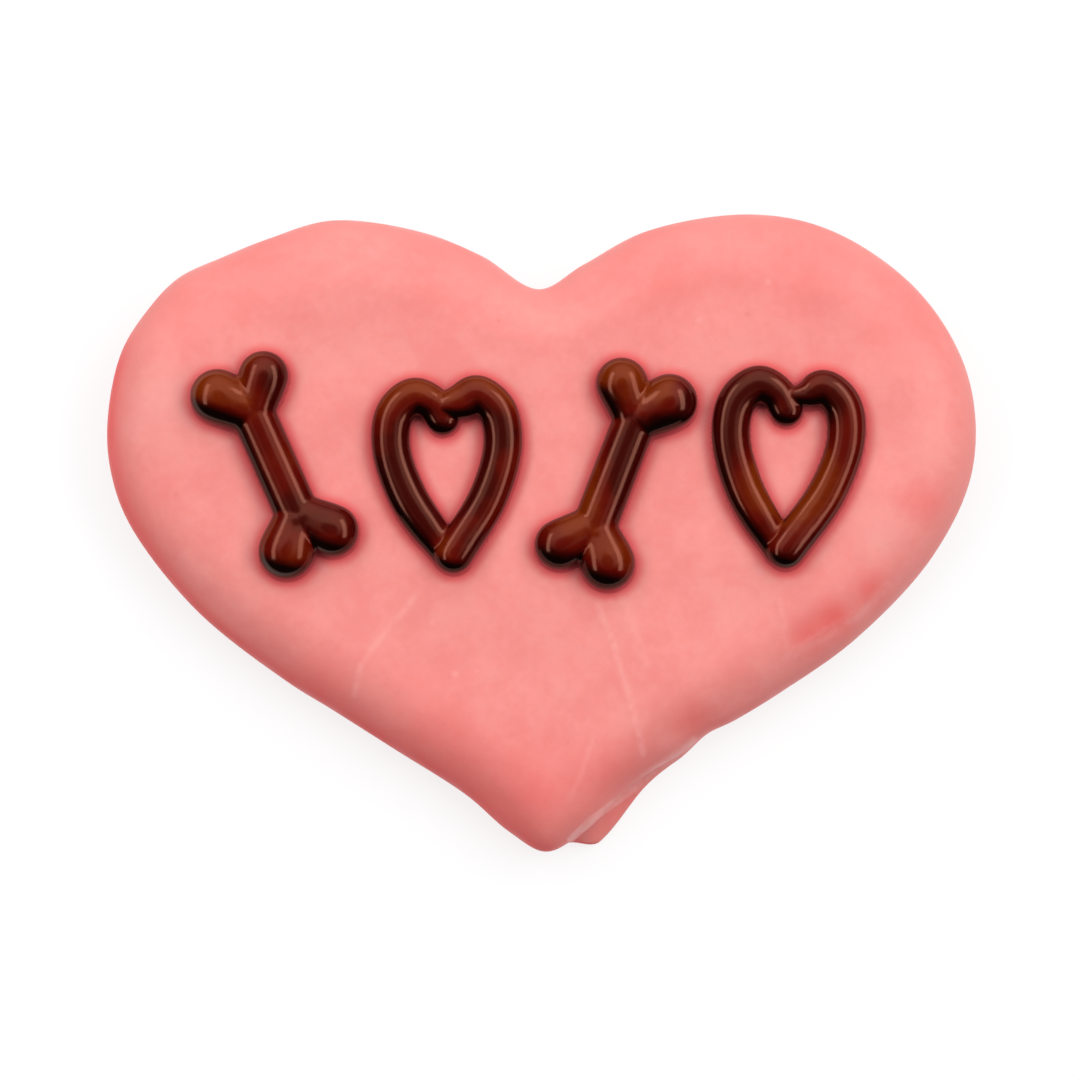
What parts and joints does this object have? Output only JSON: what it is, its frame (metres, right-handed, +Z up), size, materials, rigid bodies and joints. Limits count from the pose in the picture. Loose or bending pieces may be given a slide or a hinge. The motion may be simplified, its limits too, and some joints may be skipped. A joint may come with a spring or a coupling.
{
  "type": "iced dog biscuit",
  "caption": "Heart-shaped dog biscuit in a smooth pink icing coat, with small bones and hearts piped on its top in dark icing.",
  "frame": {"origin": "middle of the outline's bounding box, on the flat underside", "axes": "+X runs across the two lobes, -Y points at the heart's tip, +Z is up through the iced top"},
  "size_m": [0.1, 0.0732, 0.0131],
  "materials": {
    "pink_icing": "satin pink icing coat",
    "dark_icing": "glossy dark brown piped icing"
  },
  "bodies": {
    "root": {"iced_biscuit": "pink_icing", "piped_bone_left": "dark_icing", "piped_heart_left": "dark_icing", "piped_bone_right": "dark_icing", "piped_heart_right": "dark_icing"}
  },
  "joints": []
}
